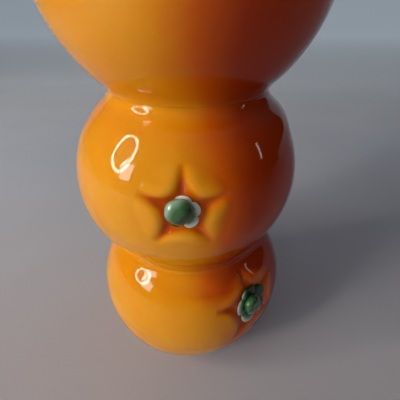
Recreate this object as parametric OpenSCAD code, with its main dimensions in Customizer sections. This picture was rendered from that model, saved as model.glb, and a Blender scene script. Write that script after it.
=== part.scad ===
// Stack of three glazed ceramic fruits, one on top of the other.
// Each tier is a hollow globe with a flat foot. The foot of an upper tier stands on
// the flat seat of the tier below and drops over a low round boss, so that the
// tiers lift straight off. A hollow curve above and below the seam makes a soft neck.
// A five-lobed calyx and a stalk sit in a star-shaped hollow in each flank.
// Millimetres, +Z up. The origin is the middle of the face that it stands on,
// and the front, where the middle calyx is, looks along -Y.

/* [Fruit] */
// Widest diameter of the middle and top fruits
fruit_d = 72; // [68:1:84]
// Widest diameter of the bottom fruit
bottom_d = 75.6; // [70:0.2:90]
// Height of each full globe, before its ends are cut flat
globe_h = 67.6; // [64:0.2:80]
// Wall thickness of the hollow body
wall = 5; // [4:0.5:6]
// Diameter of the vent hole in each base
vent_d = 6; // [3:0.5:10]

/* [Seats and necks] */
// Flat foot of the bottom fruit, below its middle
bottom_low = 27.7; // [26:0.1:29]
// Flat seat on the bottom fruit, above its middle
bottom_high = 25.2; // [24:0.1:26]
// Flat foot of the middle fruit, below its middle
middle_low = 25.5; // [24:0.1:26.5]
// Flat seat on the middle fruit, above its middle
middle_high = 26.8; // [25:0.1:28]
// Flat foot of the top fruit, below its middle
top_low = 27; // [25:0.1:28]
// How far a neck stands out beyond the notch between two globes
neck_fill = 1.6; // [1:0.1:2]
// How far the hollow curve at a neck reaches out over each globe
flare_w = 2.6; // [2:0.1:3.4]
// Chamfer on both edges of a seam
seam_edge = 0.2; // [0.1:0.05:0.4]

/* [Foot and boss] */
// Diameter of the foot that stands on the table
base_d = 51; // [46:0.5:56]
// Rounding of that foot's lower edge
base_round = 0.9; // [0.4:0.1:1.2]
// Radial width of each foot
foot_w = 4.5; // [3:0.5:6]
// Depth of the recess inside each foot
recess_h = 2.2; // [2:0.1:3]
// Height of the boss that keeps the tier above in place
boss_h = 1.6; // [1:0.1:1.8]
// Gap all round between a boss and the foot over it
boss_gap = 1; // [0.6:0.1:1.6]
// Gap under a foot, too small to see
seat_gap = 0.02; // [0.01:0.01:0.05]

/* [Star hollow] */
// Depth of the hollow's flat floor below the globe
star_depth = 2.4; // [1.5:0.1:3]
// How far the five creases run out from the hollow's floor, along the skin
crease_run = 8.6; // [8:0.2:11]
// Half the width of a crease where its two bulges come closest
crease_slot = 1; // [0.5:0.1:1.4]
// Width of the bulges' rounded shoulder, from the hollow's floor outwards
bulge_roll = 3; // [2.4:0.1:4]
// How far the bulges stand proud of the globe around the hollow
bulge_swell = 0.6; // [0:0.1:0.8]
// Bare floor that shows around the calyx
floor_lip = 0.3; // [0.2:0.1:0.8]

/* [Calyx] */
// Diameter over the lobes, bottom tier
bottom_calyx_d = 15.4; // [9:0.2:16]
// Diameter over the lobes, middle tier
middle_calyx_d = 9.6; // [9:0.2:16]
// Diameter over the lobes, top tier
top_calyx_d = 10.4; // [9:0.2:16]
// Thickness of the calyx at its middle
calyx_h = 1.7; // [1.4:0.1:2.4]
// Thickness at the rim of a lobe
lobe_edge = 0.6; // [0.4:0.1:0.9]
// Radius of the notches between lobes, as a share of the calyx's radius
notch_share = 0.66; // [0.6:0.02:0.8]

/* [Stalk] */
// Diameter of the ball whose cap is the stalk
stalk_d = 7.2; // [6.4:0.1:7.4]
// Height of the stalk above the calyx
stalk_h = 2.7; // [2.4:0.1:3]
// How far the stalk stands off the middle of the calyx, both up and to the viewer's left
stalk_offset = 0.7; // [0:0.1:0.8]
// Diameter of the peg under the stalk
peg_d = 3; // [2:0.1:3.4]
// Length of the peg
peg_h = 1; // [0.6:0.1:1.1]
// Gap around and under the peg in its socket
peg_gap = 0.15; // [0.1:0.05:0.3]

/* [Turn of each stem] */
// Bottom stem's turn from the front, positive to the viewer's right
bottom_turn = 40; // [-180:1:180]
// Bottom stem's rise above level
bottom_rise = 14; // [0:1:16]
// Bottom star's spin about its stem
bottom_spin = -6; // [-36:1:36]
// Middle stem's turn from the front
middle_turn = -1; // [-180:1:180]
// Middle stem's rise above level
middle_rise = 8; // [0:1:16]
// Middle star's spin about its stem
middle_spin = 0; // [-36:1:36]
// Top stem's turn from the front
top_turn = -20; // [-180:1:180]
// Top stem's rise above level
top_rise = 8; // [0:1:16]
// Top star's spin about its stem
top_spin = 0; // [-36:1:36]

/* [Hidden] */
$fn = 96;

glaze_orange = [0.86, 0.50, 0.12];
sepal_green = [0.55, 0.64, 0.52];
stalk_green = [0.20, 0.38, 0.20];

globe_z = globe_h / 2;
peg_r = peg_d / 2;

// A globe is as wide as this at a height from its middle, and as high as this at a radius.
function width_at(d, height) = d / 2 * sqrt(1 - pow(height / globe_z, 2));
function height_at(d, radius) = globe_z * sqrt(1 - pow(radius / (d / 2), 2));

// A neck fills the notch between the two globes that meet there.
low_neck_r = max(width_at(bottom_d, bottom_high), width_at(fruit_d, middle_low)) + neck_fill;
high_neck_r = max(width_at(fruit_d, middle_high), width_at(fruit_d, top_low)) + neck_fill;

// Heights of the fruits' middles.
bottom_z = bottom_low;
middle_z = bottom_z + bottom_high + seat_gap + middle_low;
top_z = middle_z + middle_high + seat_gap + top_low;

// How far added pieces run into the body, so that they are one with it.
root = 1;
// How far short of a seat the globe itself stops, so that the neck makes the flat face.
globe_back = 0.5;
// How deep the end of a neck's hollow curve is sunk into the globe.
flare_sink = 0.5;
flare_steps = 6;
// Clay left behind the floor of the star hollow.
back_wall = 4;

// The star has five creases, and a lobe of the calyx lies in line with each.
lobes = 5;
sector = 360 / lobes;
bulge_slope = 1.5;

// Facets: steps around the stem, which crowd towards the creases by a few degrees,
// rings across the star and rings over the rest.
steps = 60;
crowd = 7;
star_rings = 10;
globe_rings = 15;

function mix(a, b, share) = a + (b - a) * share;
function clamp01(x) = min(1, max(0, x));
function degrees(length, d) = length / (d / 2) * 180 / PI;

// Place across a sector: 1 on a crease, 0 in the middle of a bulge.
function on_crease(turn) = abs((turn % sector + sector) % sector / (sector / 2) - 1);

// Distance from a globe's middle to its skin, in a direction of the stem's frame.
function skin(direction, rise, d) =
    let (up = direction.y * cos(rise) + direction.z * sin(rise))
    1 / sqrt((1 - up * up) / pow(d / 2, 2) + up * up / pow(globe_z, 2));
function floor_height(rise, d) = skin([0, 0, 1], rise, d) - star_depth;
function floor_radius(calyx_d) = calyx_d / 2 + floor_lip;

// Radius of the round front of a bulge. Beside a crease, two fronts nearly meet.
function bulge_r(floor_r) =
    let (narrow = sin(sector / 2))
    ((floor_r + bulge_roll) * narrow - crease_slot) / (1 - narrow);

// Distance from the nearest bulge's round front, less than nothing on the bulge itself.
function bulge_gap(distance, turn, floor_r) =
    let (
        aside = on_crease(turn) * sector / 2,
        front = bulge_r(floor_r),
        middle = floor_r + bulge_roll + front
    )
    norm([distance * cos(aside) - middle, distance * sin(aside)]) - front;

// Share of the crease's run that is left, 1 at the hollow's floor and 0 where the star ends.
function run_left(distance, floor_r) = clamp01((floor_r + crease_run - distance) / crease_run);

// Share of the way down to the hollow's floor. It falls from the front of each bulge.
function hollow(distance, turn, floor_r) =
    pow(clamp01(bulge_gap(distance, turn, floor_r) / bulge_roll), bulge_slope)
    * sqrt(run_left(distance, floor_r));

// Share of the bulges' swelling, which is fullest just behind their fronts.
function swelling(distance, turn, floor_r) =
    exp(-pow(bulge_gap(distance, turn, floor_r) / bulge_roll + 0.3, 2)) * run_left(distance, floor_r);

// A point of the skin, at a distance from the stem and a turn about it from the top.
function skin_point(distance, turn, rise, d, floor_r) =
    let (
        angle = degrees(distance, d),
        direction = [sin(angle) * sin(turn), sin(angle) * cos(turn), cos(angle)],
        share = hollow(distance, turn, floor_r),
        floor_ray = share > 0 ? floor_height(rise, d) / cos(angle) : 0,
        full = skin(direction, rise, d) + bulge_swell * swelling(distance, turn, floor_r)
    )
    direction * mix(full, floor_ray, share);

// Faces that join ring after ring of points, with a flat lid on the first ring.
function band_faces(rings) = [
    for (ring = [0 : rings - 2], step = [0 : steps - 1])
        let (
            here = ring * steps + step,
            beside = ring * steps + (step + 1) % steps
        )
        each [[here, here + steps, beside + steps], [here, beside + steps, beside]]
];
first_lid = [for (step = [steps - 1 : -1 : 0]) step];

// Turns the stem's frame, +Z outwards and +Y upwards, to its place on the fruit.
module stem_frame(turn, rise) {
    rotate([90 - rise, 0, turn]) children();
}

// The full globe with its star hollow, in the stem's frame.
module puckered_globe(d, rise, spin, floor_r) {
    star_end = floor_r + crease_run;
    far_side = PI * d / 2;
    distances = concat(
        [for (ring = [0 : star_rings]) mix(floor_r, star_end, ring / star_rings)],
        [for (ring = [1 : globe_rings]) mix(star_end, far_side, ring / (globe_rings + 1))]
    );
    points = [
        for (distance = distances, step = [0 : steps - 1])
            let (turn = step * 360 / steps)
            skin_point(distance, turn - crowd * sin(turn * lobes), rise, d, floor_r)
    ];
    pole = [0, 0, -skin([0, 0, -1], rise, d)];
    last = len(points) - steps;
    pole_faces = [
        for (step = [0 : steps - 1])
            [last + step, len(points), last + (step + 1) % steps]
    ];
    rotate(-spin)
        polyhedron(
            points = concat(points, [pole]),
            faces = concat([first_lid], band_faces(len(distances)), pole_faces),
            convexity = 6
        );
}

// Disc under the bottom fruit with a rounded lower edge, down to the table.
module base_disc() {
    base_r = base_d / 2;
    top = root - height_at(bottom_d, base_r);
    rotate_extrude()
        translate([0, -bottom_low]) {
            square([base_r - base_round, bottom_low + top]);
            translate([0, base_round]) square([base_r, bottom_low + top - base_round]);
            translate([base_r - base_round, base_round]) circle(base_round);
        }
}

// Disc that ends a globe in a flat face at a seam. Its side is a hollow curve
// that leaves the seam upright and runs out into the globe. Way is 1 at the top and -1 below.
module neck_disc(d, seat, neck_r, way) {
    reach = neck_r + flare_w;
    end_height = height_at(d, reach);
    slope = pow(globe_z / (d / 2), 2) * reach / end_height;
    start = [neck_r, seat - seam_edge];
    end = [reach, end_height - flare_sink];
    corner = [neck_r, min(start.y, end.y + slope * flare_w)];
    curve = [
        for (step = [0 : flare_steps])
            let (t = step / flare_steps)
            start * pow(1 - t, 2) + corner * 2 * t * (1 - t) + end * pow(t, 2)
    ];
    outline = concat([[0, end.y], [0, seat], [neck_r - seam_edge, seat]], curve);
    rotate_extrude() polygon([for (point = outline) [point.x, point.y * way]]);
}

// The hollow inside, with flat ends and a flat left behind the star hollow.
module cavity(d, low, high, turn, rise) {
    floor_z = recess_h + wall - low;
    difference() {
        intersection() {
            sphere(d / 2 - wall);
            translate([0, 0, floor_z]) cylinder(r = d / 2, h = high - wall - floor_z);
        }
        stem_frame(turn, rise)
            translate([0, 0, floor_height(rise, d) - back_wall]) cylinder(r = d / 2, h = d / 2);
    }
}

// One hollow fruit about its own middle, between its foot and its seat.
// The children are the discs that end it in flat faces.
module fruit(d, low, high, foot_r, turn, rise, spin, calyx_d) {
    difference() {
        union() {
            intersection() {
                stem_frame(turn, rise) puckered_globe(d, rise, spin, floor_radius(calyx_d));
                translate([0, 0, globe_back - low])
                    cylinder(r = d, h = low + high - 2 * globe_back);
            }
            children();
        }
        cavity(d, low, high, turn, rise);
        translate([0, 0, -low - root]) cylinder(r = foot_r - foot_w, h = recess_h + root);
        translate([0, 0, -low]) cylinder(d = vent_d, h = recess_h + wall + root);
    }
}

// Low round boss on a seat, which fits into the recess of the foot above it.
module boss(seat, foot_r) {
    translate([0, 0, seat - root])
        cylinder(r = foot_r - foot_w - boss_gap, h = boss_h + root);
}

// Moves to where the stalk stands on the calyx.
module at_stalk() {
    translate([-stalk_offset, stalk_offset, calyx_h]) children();
}

// Five rounded lobes on a flat back, with a socket for the stalk's peg.
module calyx(spin, calyx_d) {
    radius = calyx_d / 2;
    // Share of the radius and height of each ring, from the flat top to the back.
    rings = [
        [0.5, calyx_h],
        [0.7, mix(lobe_edge, calyx_h, 0.84)],
        [0.86, mix(lobe_edge, calyx_h, 0.52)],
        [0.96, mix(lobe_edge, calyx_h, 0.2)],
        [1, lobe_edge],
        [0.97, 0]
    ];
    function rim(turn) =
        radius * mix(notch_share, 1, sqrt(1 - pow(1 - on_crease(turn), 2)));
    function ring_radius(ring, turn) =
        ring == 0 ? rings[0][0] * radius : rings[ring][0] * rim(turn);
    points = [
        for (ring = [0 : len(rings) - 1], step = [0 : steps - 1])
            let (turn = step * 360 / steps, reach = ring_radius(ring, turn))
            [reach * sin(turn), reach * cos(turn), rings[ring][1]]
    ];
    last = len(points) - steps;
    back_lid = [for (step = [0 : steps - 1]) last + step];
    difference() {
        rotate(-spin)
            polyhedron(
                points = points,
                faces = concat([first_lid], band_faces(len(rings)), [back_lid]),
                convexity = 4
            );
        at_stalk()
            translate([0, 0, -peg_h - peg_gap]) cylinder(r = peg_r + peg_gap, h = peg_h + root);
    }
}

// Short round stalk, the cap of a ball, with a straight peg under it.
module stalk() {
    at_stalk() {
        intersection() {
            translate([0, 0, stalk_h - stalk_d / 2]) sphere(stalk_d / 2);
            cylinder(r = stalk_d, h = stalk_d);
        }
        translate([0, 0, -peg_h]) cylinder(r = peg_r, h = peg_h + root);
    }
}

// Places of the tiers' middles.
module bottom_tier() {
    translate([0, 0, bottom_z]) children();
}

module middle_tier() {
    translate([0, 0, middle_z]) children();
}

module top_tier() {
    translate([0, 0, top_z]) children();
}

// Places a piece on the floor of the star hollow.
module on_stem(d, turn, rise) {
    stem_frame(turn, rise) translate([0, 0, floor_height(rise, d)]) children();
}

module bottom_fruit() {
    color(glaze_orange)
        bottom_tier()
            fruit(
                bottom_d, bottom_low, bottom_high, base_d / 2,
                bottom_turn, bottom_rise, bottom_spin, bottom_calyx_d
            ) {
                base_disc();
                neck_disc(bottom_d, bottom_high, low_neck_r, 1);
                boss(bottom_high, low_neck_r);
            }
}

module bottom_calyx() {
    color(sepal_green)
        bottom_tier()
            on_stem(bottom_d, bottom_turn, bottom_rise) calyx(bottom_spin, bottom_calyx_d);
}

module bottom_stalk() {
    color(stalk_green)
        bottom_tier()
            on_stem(bottom_d, bottom_turn, bottom_rise) stalk();
}

module middle_fruit() {
    color(glaze_orange)
        middle_tier()
            fruit(
                fruit_d, middle_low, middle_high, low_neck_r,
                middle_turn, middle_rise, middle_spin, middle_calyx_d
            ) {
                neck_disc(fruit_d, middle_low, low_neck_r, -1);
                neck_disc(fruit_d, middle_high, high_neck_r, 1);
                boss(middle_high, high_neck_r);
            }
}

module middle_calyx() {
    color(sepal_green)
        middle_tier()
            on_stem(fruit_d, middle_turn, middle_rise) calyx(middle_spin, middle_calyx_d);
}

module middle_stalk() {
    color(stalk_green)
        middle_tier()
            on_stem(fruit_d, middle_turn, middle_rise) stalk();
}

module top_fruit() {
    color(glaze_orange)
        top_tier()
            fruit(
                fruit_d, top_low, globe_z + globe_back, high_neck_r,
                top_turn, top_rise, top_spin, top_calyx_d
            )
                neck_disc(fruit_d, top_low, high_neck_r, -1);
}

module top_calyx() {
    color(sepal_green)
        top_tier()
            on_stem(fruit_d, top_turn, top_rise) calyx(top_spin, top_calyx_d);
}

module top_stalk() {
    color(stalk_green)
        top_tier()
            on_stem(fruit_d, top_turn, top_rise) stalk();
}

bottom_fruit();
bottom_calyx();
bottom_stalk();
middle_fruit();
middle_calyx();
middle_stalk();
top_fruit();
top_calyx();
top_stalk();
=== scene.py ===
"""Dress the stack of glazed ceramic fruits.

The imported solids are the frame. Each fruit, calyx and stalk gets a finer mesh in the same
place with its own glaze, and a floor, lamps and a camera stand round the stack.
Sizes in the dataclasses are in millimetres, angles in degrees, and meshes in metres.
"""
import logging
import math
from dataclasses import dataclass
from enum import Enum
from typing import Any

import bmesh
import bpy
from mathutils import Euler, Matrix, Vector


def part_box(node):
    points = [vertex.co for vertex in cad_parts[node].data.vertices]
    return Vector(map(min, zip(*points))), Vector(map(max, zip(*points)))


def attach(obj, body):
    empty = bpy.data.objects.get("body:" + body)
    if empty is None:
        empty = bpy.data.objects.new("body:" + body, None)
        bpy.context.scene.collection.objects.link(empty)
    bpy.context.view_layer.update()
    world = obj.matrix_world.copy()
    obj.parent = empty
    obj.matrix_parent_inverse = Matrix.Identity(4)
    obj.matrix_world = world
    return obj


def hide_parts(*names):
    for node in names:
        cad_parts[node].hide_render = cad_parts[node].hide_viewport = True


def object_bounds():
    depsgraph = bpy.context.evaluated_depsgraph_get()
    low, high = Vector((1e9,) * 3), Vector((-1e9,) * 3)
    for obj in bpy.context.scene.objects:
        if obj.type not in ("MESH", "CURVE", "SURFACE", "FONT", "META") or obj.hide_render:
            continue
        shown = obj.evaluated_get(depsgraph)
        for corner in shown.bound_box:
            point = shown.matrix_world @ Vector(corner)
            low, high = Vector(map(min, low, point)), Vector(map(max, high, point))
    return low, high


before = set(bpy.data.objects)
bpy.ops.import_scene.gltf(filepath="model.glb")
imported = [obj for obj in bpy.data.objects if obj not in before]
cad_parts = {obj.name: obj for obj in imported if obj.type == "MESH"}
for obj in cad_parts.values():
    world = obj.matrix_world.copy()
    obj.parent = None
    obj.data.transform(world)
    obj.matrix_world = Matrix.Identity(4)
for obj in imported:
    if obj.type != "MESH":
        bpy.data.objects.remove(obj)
CAD_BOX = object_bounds()

MM = 0.001
LOBES = 5
SECTOR = math.tau / LOBES
NUMBERS = "ShaderNodeMath"
VECTORS = "ShaderNodeVectorMath"
Point = tuple[float, float]
Triple = tuple[float, float, float]
log = logging.getLogger("fruit_stack")


class Slot(Enum):
    """The record's material slots."""

    FRUIT = "fruit_glaze"
    CALYX = "calyx_glaze"
    STALK = "stalk_glaze"


def linear(colour: str) -> tuple[float, float, float, float]:
    """Turn an sRGB hex colour to linear light.

    Args:
        colour: The colour, written as #RRGGBB.

    Returns:
        Red, green, blue and a full alpha.
    """
    channels = [int(colour[start:start + 2], 16) / 255 for start in (1, 3, 5)]
    bent = [c / 12.92 if c <= 0.04045 else ((c + 0.055) / 1.055) ** 2.4 for c in channels]
    return (*bent, 1.0)


def per_metre(size_mm: float) -> float:
    """Return how many features of a size fit in a metre, as the scale of a pattern."""
    return 1 / (size_mm * MM)


def ease(share: Any) -> Any:
    """Return a share from 0 to 1, a number or a Field, with a soft start and end."""
    return share * share * (3.0 - share * 2.0)


def plug(tree: bpy.types.NodeTree, node: bpy.types.Node, inputs: dict[str | int, Any]) -> None:
    """Set or link inputs of a node.

    Args:
        tree: The node tree.
        node: One of its nodes.
        inputs: Input name or place, to a constant, a socket or a Field.
    """
    for name, value in inputs.items():
        source = value.socket if isinstance(value, Field) else value
        if isinstance(source, bpy.types.NodeSocket):
            tree.links.new(source, node.inputs[name])
        else:
            node.inputs[name].default_value = source


def add_node(
    tree: bpy.types.NodeTree,
    kind: str,
    inputs: dict[str | int, Any] | None = None,
    **settings: Any,
) -> bpy.types.Node:
    """Add a node, set its settings, then set or link its inputs.

    Args:
        tree: The node tree to add to.
        kind: Blender's name for the node.
        inputs: Input name or place, to a constant, a socket or a Field.
        **settings: The node's own properties.

    Returns:
        The new node.
    """
    node = tree.nodes.new(kind)
    for name, value in settings.items():
        setattr(node, name, value)
    plug(tree, node, inputs or {})
    return node


def set_ramp(node: bpy.types.Node, stops: dict[float, str]) -> None:
    """Give a colour ramp its stops.

    Args:
        node: The ramp.
        stops: Place along the ramp, to an sRGB hex colour.
    """
    elements = node.color_ramp.elements
    for extra in range(len(stops) - len(elements)):
        elements.new(extra / len(stops))
    for element, (place, colour) in zip(elements, sorted(stops.items())):
        element.position = place
        element.color = linear(colour)


@dataclass(frozen=True)
class Field:
    """A value inside a node tree, so that a formula can be written as one."""

    tree: bpy.types.NodeTree
    socket: bpy.types.NodeSocket

    @staticmethod
    def of(
        tree: bpy.types.NodeTree,
        kind: str,
        output: str | int,
        inputs: dict[str | int, Any] | None = None,
        **settings: Any,
    ) -> "Field":
        """Add a node as add_node does, and return one of its outputs."""
        return Field(tree, add_node(tree, kind, inputs, **settings).outputs[output])

    def apply(self, operation: str, *others: Any, kind: str = NUMBERS, output: str | int = 0) -> "Field":
        """Return what an operation on numbers or vectors makes of this value and others."""
        operands = dict(enumerate((self, *others)))
        return Field.of(self.tree, kind, output, operands, operation=operation)

    def dot(self, other: "Field") -> "Field":
        """Return the dot product with another vector."""
        return self.apply("DOT_PRODUCT", other, kind=VECTORS, output="Value")

    def length(self) -> "Field":
        """Return the length of a vector."""
        return self.apply("LENGTH", kind=VECTORS, output="Value")

    def __getitem__(self, axis: str) -> "Field":
        """Return one component of a vector."""
        return Field.of(self.tree, "ShaderNodeSeparateXYZ", axis, {"Vector": self})

    def __add__(self, other: Any) -> "Field":
        """Return the sum."""
        return self.apply("ADD", other)

    def __sub__(self, other: Any) -> "Field":
        """Return the difference."""
        return self.apply("SUBTRACT", other)

    def __rsub__(self, other: Any) -> "Field":
        """Return the difference from a constant."""
        return self * -1.0 + other

    def __mul__(self, other: Any) -> "Field":
        """Return the product."""
        return self.apply("MULTIPLY", other)

    def __truediv__(self, other: Any) -> "Field":
        """Return the quotient."""
        return self.apply("DIVIDE", other)

    def __pow__(self, other: Any) -> "Field":
        """Return the power."""
        return self.apply("POWER", other)

    def clamped(self) -> "Field":
        """Return the value held between 0 and 1."""
        return self.apply("MINIMUM", 1.0).apply("MAXIMUM", 0.0)

    def hump(self) -> "Field":
        """Return 1 where the value is nought, falling away smoothly on both sides."""
        return (self * self * -1.0).apply("EXPONENT")

    def towards(self, end: Any, share: Any) -> "Field":
        """Return the value moved a share of the way to another one."""
        return self + (end - self) * share


class Tree:
    """A Geometry Nodes tree with named inputs, which ends in plain geometry."""

    def __init__(self, name: str, inputs: dict[str, str]) -> None:
        """Make the tree.

        Args:
            name: The tree's name.
            inputs: Input name, to the kind of its socket.
        """
        self.group = bpy.data.node_groups.new(name, "GeometryNodeTree")
        face = self.group.interface
        self.sockets = {
            label: face.new_socket(name=label, in_out="INPUT", socket_type=f"NodeSocket{kind}")
            for label, kind in inputs.items()
        }
        face.new_socket(name="Geometry", in_out="OUTPUT", socket_type="NodeSocketGeometry")
        self.given = add_node(self.group, "NodeGroupInput")

    def field(self, label: str) -> Field:
        """Return one of the tree's inputs."""
        return Field(self.group, self.given.outputs[label])

    def node(self, kind: str, inputs: dict[str | int, Any] | None = None) -> bpy.types.Node:
        """Add a node to this tree and return it."""
        return add_node(self.group, kind, inputs)

    def out(self, kind: str, output: str | int, inputs: dict | None = None, **settings: Any) -> Field:
        """Add a node to this tree and return one of its outputs."""
        return Field.of(self.group, kind, output, inputs, **settings)

    def finish(self, geometry: Field, materials: dict[str, Field | None]) -> None:
        """End the tree in smooth, realized geometry with its materials.

        Args:
            geometry: The geometry to hand out.
            materials: Material input, to the faces that take it, or None for all.
        """
        smooth = self.out("GeometryNodeSetShadeSmooth", 0, {"Geometry": geometry})
        shape = self.out("GeometryNodeRealizeInstances", 0, {"Geometry": smooth})
        for label, chosen in materials.items():
            inputs = {"Geometry": shape, "Material": self.field(label)}
            if chosen is not None:
                inputs["Selection"] = chosen
            shape = self.out("GeometryNodeSetMaterial", 0, inputs)
        self.node("NodeGroupOutput", {"Geometry": shape})

    def bake(self, start: bpy.types.Mesh, name: str, values: dict[str, Any]) -> bpy.types.Object:
        """Run the tree on a mesh and keep the result as a plain mesh.

        Args:
            start: The mesh that the tree starts from.
            name: The new object's name.
            values: Input name, to its value.

        Returns:
            An object with the result and no modifier.
        """
        piece = bpy.data.objects.new(name, start)
        bpy.context.scene.collection.objects.link(piece)
        modifier = piece.modifiers.new(self.group.name, "NODES")
        modifier.node_group = self.group
        for label, value in values.items():
            modifier[self.sockets[label].identifier] = value
        depsgraph = bpy.context.evaluated_depsgraph_get()
        result = bpy.data.meshes.new_from_object(
            piece.evaluated_get(depsgraph), preserve_all_data_layers=True, depsgraph=depsgraph
        )
        piece.modifiers.remove(modifier)
        piece.data = result
        result.name = name
        return piece


def new_material(name: str) -> tuple[bpy.types.Material, bpy.types.NodeTree, bpy.types.Node]:
    """Make an empty node material.

    Args:
        name: The material's name.

    Returns:
        The material, its node tree and its shader.
    """
    material = bpy.data.materials.new(name)
    material.use_nodes = True
    tree = material.node_tree
    return material, tree, tree.nodes["Principled BSDF"]


@dataclass(frozen=True)
class OrangeGlaze:
    """Amber lead-type glaze over white earthenware, dipped and fired glossy.

    The eye gets a clear wet gloss over a warm orange that is paler where the glaze
    breaks over an edge and a deep red-brown where it pools in creases. The same
    colours also paint highlights along the bulges' edges, and shade as a redder glaze
    on the side turned from the lamps.
    """

    name: str = "amber_glaze_on_earthenware"
    # The paler stops also paint highlights along the bulges' edges and crests, and the two darkest stops
    # also paint shade on the side turned from the lamps, in the necks and in the hollow left of the stem.
    broken: str = "#EBCB92"
    thin: str = "#EBAA30"
    plain: str = "#E08D0C"
    thick: str = "#CC5A06"
    pooled_and_shaded: str = "#A23205"
    mottle_mm: float = 26.0
    mottle_share: float = 0.3
    ripple_mm: float = 7.0
    ripple_share: float = 0.06
    ripple_relief: float = 0.6
    pinhole_mm: float = 3.2
    pinhole_width: float = 0.05
    pinhole_shade: float = 0.35
    pinhole_relief: float = 0.25
    relief_mm: float = 0.2
    glow_mm: float = 5.0
    glow_reach: Triple = (1.0, 0.28, 0.08)

    def build(self) -> bpy.types.Material:
        """Make the material.

        Returns:
            The material.
        """
        material, tree, shader = new_material(self.name)
        place = add_node(tree, "ShaderNodeTexCoord").outputs["Object"]
        film = Field.of(tree, "ShaderNodeAttribute", "Fac", attribute_name="glaze")
        mottle, ripple = (
            Field.of(
                tree,
                "ShaderNodeTexNoise",
                "Fac",
                {"Vector": place, "Scale": per_metre(size), "Detail": detail},
            )
            for size, detail in ((self.mottle_mm, 3.0), (self.ripple_mm, 2.0))
        )
        depth = film + (mottle - 0.5) * self.mottle_share + (ripple - 0.5) * self.ripple_share
        ramp = add_node(tree, "ShaderNodeValToRGB", {"Fac": depth})
        set_ramp(
            ramp,
            {0.0: self.broken, 0.15: self.thin, 0.45: self.plain, 0.72: self.thick, 1.0: self.pooled_and_shaded},
        )
        cells = {"Vector": place, "Scale": per_metre(self.pinhole_mm)}
        pinhole = Field.of(tree, "ShaderNodeTexVoronoi", "Distance", cells)
        pit = pinhole.apply("LESS_THAN", self.pinhole_width)
        speckled = add_node(
            tree,
            "ShaderNodeMixRGB",
            {
                "Fac": pit * self.pinhole_shade,
                "Color1": ramp.outputs["Color"],
                "Color2": linear(self.pooled_and_shaded),
            },
        )
        height = ripple * self.ripple_relief - pit * self.pinhole_relief
        bump = add_node(
            tree, "ShaderNodeBump", {"Height": height, "Strength": 0.03, "Distance": self.relief_mm * MM}
        )
        plug(
            tree,
            shader,
            {
                "Base Color": speckled.outputs["Color"],
                "Normal": bump.outputs["Normal"],
                "Roughness": 0.06,
                "IOR": 1.5,
                "Specular IOR Level": 0.28,
                "Subsurface Weight": 0.3,
                "Subsurface Radius": self.glow_reach,
                "Subsurface Scale": self.glow_mm * MM,
            },
        )
        return material


@dataclass(frozen=True)
class BareClay:
    """Fired earthenware where the glaze is wiped off the foot.

    The eye gets a dry, chalky cream with fine grit.
    """

    name: str = "bare_fired_earthenware"
    cream: str = "#E6DCCB"
    grit: str = "#BFAF98"
    # Real grit is finer. It is drawn as coarse as it needs to show.
    grit_mm: float = 0.7
    relief_mm: float = 0.1

    def build(self) -> bpy.types.Material:
        """Make the material.

        Returns:
            The material.
        """
        material, tree, shader = new_material(self.name)
        place = add_node(tree, "ShaderNodeTexCoord").outputs["Object"]
        grains = {"Vector": place, "Scale": per_metre(self.grit_mm), "Detail": 4.0}
        grain = Field.of(tree, "ShaderNodeTexNoise", "Fac", grains)
        ramp = add_node(tree, "ShaderNodeValToRGB", {"Fac": grain})
        set_ramp(ramp, {0.35: self.grit, 0.6: self.cream})
        bump = add_node(
            tree, "ShaderNodeBump", {"Height": grain, "Strength": 0.4, "Distance": self.relief_mm * MM}
        )
        plug(
            tree,
            shader,
            {
                "Base Color": ramp.outputs["Color"],
                "Normal": bump.outputs["Normal"],
                "Roughness": 0.85,
            },
        )
        return material


@dataclass(frozen=True)
class SepalGlaze:
    """Green glaze dabbed on the calyx, running out over white earthenware.

    The eye gets a glossy green at the middle that thins to a milky grey-white at the tips, drawn deeper
    green on a shaded side as painted shade.
    """

    name: str = "green_glaze_running_to_white"
    deep: str = "#152B12"
    green: str = "#4F7A55"
    milky: str = "#A9B8A8"
    white: str = "#D3D5CC"
    streak_mm: float = 1.6
    streak_share: float = 0.3
    relief_mm: float = 0.15

    def build(self) -> bpy.types.Material:
        """Make the material.

        Returns:
            The material.
        """
        material, tree, shader = new_material(self.name)
        place = add_node(tree, "ShaderNodeTexCoord").outputs["Object"]
        reach = Field.of(tree, "ShaderNodeAttribute", "Fac", attribute_name="reach")
        streaks = {"Vector": place, "Scale": per_metre(self.streak_mm), "Detail": 3.0}
        streak = Field.of(tree, "ShaderNodeTexNoise", "Fac", streaks)
        ramp = add_node(tree, "ShaderNodeValToRGB", {"Fac": reach + (streak - 0.5) * self.streak_share})
        set_ramp(ramp, {0.4: self.deep, 0.58: self.green, 0.72: self.milky, 0.88: self.white})
        bump = add_node(
            tree, "ShaderNodeBump", {"Height": streak, "Strength": 0.15, "Distance": self.relief_mm * MM}
        )
        plug(
            tree,
            shader,
            {
                "Base Color": ramp.outputs["Color"],
                "Normal": bump.outputs["Normal"],
                "Roughness": 0.3,
                "Specular IOR Level": 0.2,
                "Coat Weight": 0.4,
                "Coat Roughness": 0.05,
            },
        )
        return material


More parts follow.
